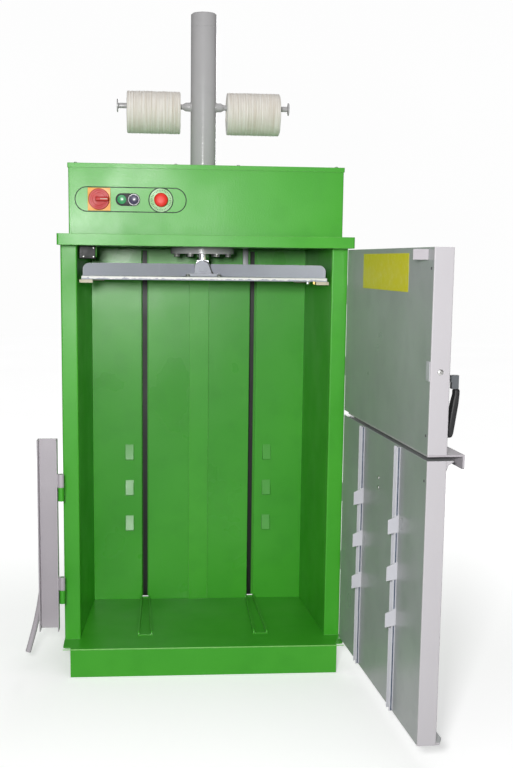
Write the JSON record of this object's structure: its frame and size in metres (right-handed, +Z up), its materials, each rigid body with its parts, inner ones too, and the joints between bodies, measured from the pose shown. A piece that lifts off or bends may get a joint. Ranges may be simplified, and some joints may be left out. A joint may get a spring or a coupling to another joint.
{
  "type": "recycling baler",
  "caption": "Upright recycling baler: green body with a tall press cylinder and twine spools on top, ribbed platen, grey loading doors stored open and a swinging closing bar.",
  "frame": {"origin": "on the floor, on the centre plane of the body, in line with the front of the base", "axes": "+X to the right of someone facing the loading doors, +Y towards the back wall, +Z up"},
  "size_m": [1.0335, 1.237, 1.85],
  "materials": {
    "green_paint": "semi-gloss textured",
    "grey_paint": "semi-gloss",
    "zinc_steel": "bright zinc",
    "chrome_rod": "polished",
    "cast_iron": "plain",
    "aluminium": "satin",
    "dark_paint": "satin",
    "yellow_plastic": "gloss",
    "red_plastic": "gloss",
    "pale_plastic": "matt",
    "green_plastic": "gloss",
    "black_plastic": "matt",
    "black_rubber": "matt",
    "twine": "wound",
    "cream_plastic": "matt"
  },
  "bodies": {
    "frame": {"base_skirt": "green_paint", "floor_plate": "green_paint", "floor_guides": "green_paint", "left_post": "green_paint", "left_side_wall": "green_paint", "right_post": "green_paint", "right_side_wall": "green_paint", "side_ribs": "green_paint", "back_wall": "green_paint", "centre_strip": "green_paint", "strap_channels": "green_paint", "back_beams": "green_paint", "head_pan": "green_paint", "head_box": "green_paint", "head_lid": "green_paint", "lid_screws": "zinc_steel", "switch_plate": "yellow_plastic", "button_bezel": "black_plastic", "contact_blocks": "black_plastic", "stop_ring": "chrome_rod", "estop_plate": "pale_plastic", "cylinder_tube": "grey_paint", "cylinder_cap": "grey_paint", "cylinder_flange": "grey_paint", "flange_bolts": "zinc_steel", "valve_block": "aluminium", "oil_tank": "dark_paint", "pump_motor": "cast_iron", "control_box": "dark_paint", "cable_gland": "black_plastic", "pressure_pipe": "zinc_steel", "hydraulic_hoses": "black_rubber", "spool_pins": "grey_paint", "door_hinges": "grey_paint", "bar_hinges": "green_paint", "door_switch": "black_plastic"},
    "platen": {"platen_plate": "grey_paint", "platen_ribs": "grey_paint", "platen_clevis": "grey_paint", "clevis_pin": "zinc_steel", "piston_rod": "chrome_rod", "piston": "cast_iron", "wear_pads": "cream_plastic"},
    "lower_door": {"lower_door": "grey_paint", "door_strap_guides": "grey_paint"},
    "upper_door": {"upper_door": "grey_paint", "upper_door_rail": "grey_paint", "door_tab": "grey_paint"},
    "handle": {"door_handle": "grey_paint", "handle_grip": "black_plastic"},
    "closing_bar": {"closing_bar": "grey_paint", "bar_handle": "grey_paint"},
    "spool_left": {"spool_left": "twine"},
    "spool_right": {"spool_right": "twine"},
    "main_switch": {"switch_knob": "red_plastic"},
    "start_button": {"start_button": "green_plastic"},
    "stop_button": {"stop_button": "black_plastic"},
    "estop_button": {"estop_button": "red_plastic"},
    "switch_plunger": {"switch_plunger": "black_plastic"}
  },
  "joints": [
    {"name": "platen_slide", "type": "slide", "parent": "frame", "child": "platen", "axis": [0, 0, -1], "range_m": [0, 0.49]},
    {"name": "lower_door_hinge", "type": "hinge", "parent": "frame", "child": "lower_door", "pos_m": [0.4025, 0.075, 0.4], "axis": [0, 0, 1], "range_deg": [-93.7, 0]},
    {"name": "upper_door_hinge", "type": "hinge", "parent": "lower_door", "child": "upper_door", "pos_m": [0.4025, 0.075, 0.97], "axis": [0, 0, 1], "range_deg": [0, 86]},
    {"name": "handle_turn", "type": "hinge", "parent": "upper_door", "child": "handle", "pos_m": [0.48401, -0.66629, 0.912], "axis": [0.9979, 0.0645, 0], "range_deg": [0, 90]},
    {"name": "closing_bar_hinge", "type": "hinge", "parent": "frame", "child": "closing_bar", "pos_m": [-0.398, 0.024, 0.4], "axis": [0, 0, 1], "range_deg": [0, 180]},
    {"name": "spool_left_turn", "type": "hinge", "parent": "frame", "child": "spool_left", "pos_m": [-0.142, 0.275, 1.5768], "axis": [1, 0, 0], "continuous": true},
    {"name": "spool_right_turn", "type": "hinge", "parent": "frame", "child": "spool_right", "pos_m": [0.142, 0.275, 1.5768], "axis": [1, 0, 0], "continuous": true},
    {"name": "main_switch_turn", "type": "hinge", "parent": "frame", "child": "main_switch", "pos_m": [-0.288, 0.02, 1.319], "axis": [0, -1, 0], "range_deg": [0, 90]},
    {"name": "start_press", "type": "slide", "parent": "frame", "child": "start_button", "axis": [0, 1, 0], "range_m": [0, 0.004], "stiffness_N_per_m": 600, "springref_m": -0.003},
    {"name": "stop_press", "type": "slide", "parent": "frame", "child": "stop_button", "axis": [0, 1, 0], "range_m": [0, 0.004], "stiffness_N_per_m": 600, "springref_m": -0.003},
    {"name": "estop_press", "type": "slide", "parent": "frame", "child": "estop_button", "axis": [0, 1, 0], "range_m": [0, 0.005], "stiffness_N_per_m": 1200, "springref_m": -0.004},
    {"name": "plunger_press", "type": "slide", "parent": "frame", "child": "switch_plunger", "axis": [0, 1, 0], "range_m": [0, 0.003], "stiffness_N_per_m": 400, "springref_m": -0.002}
  ]
}
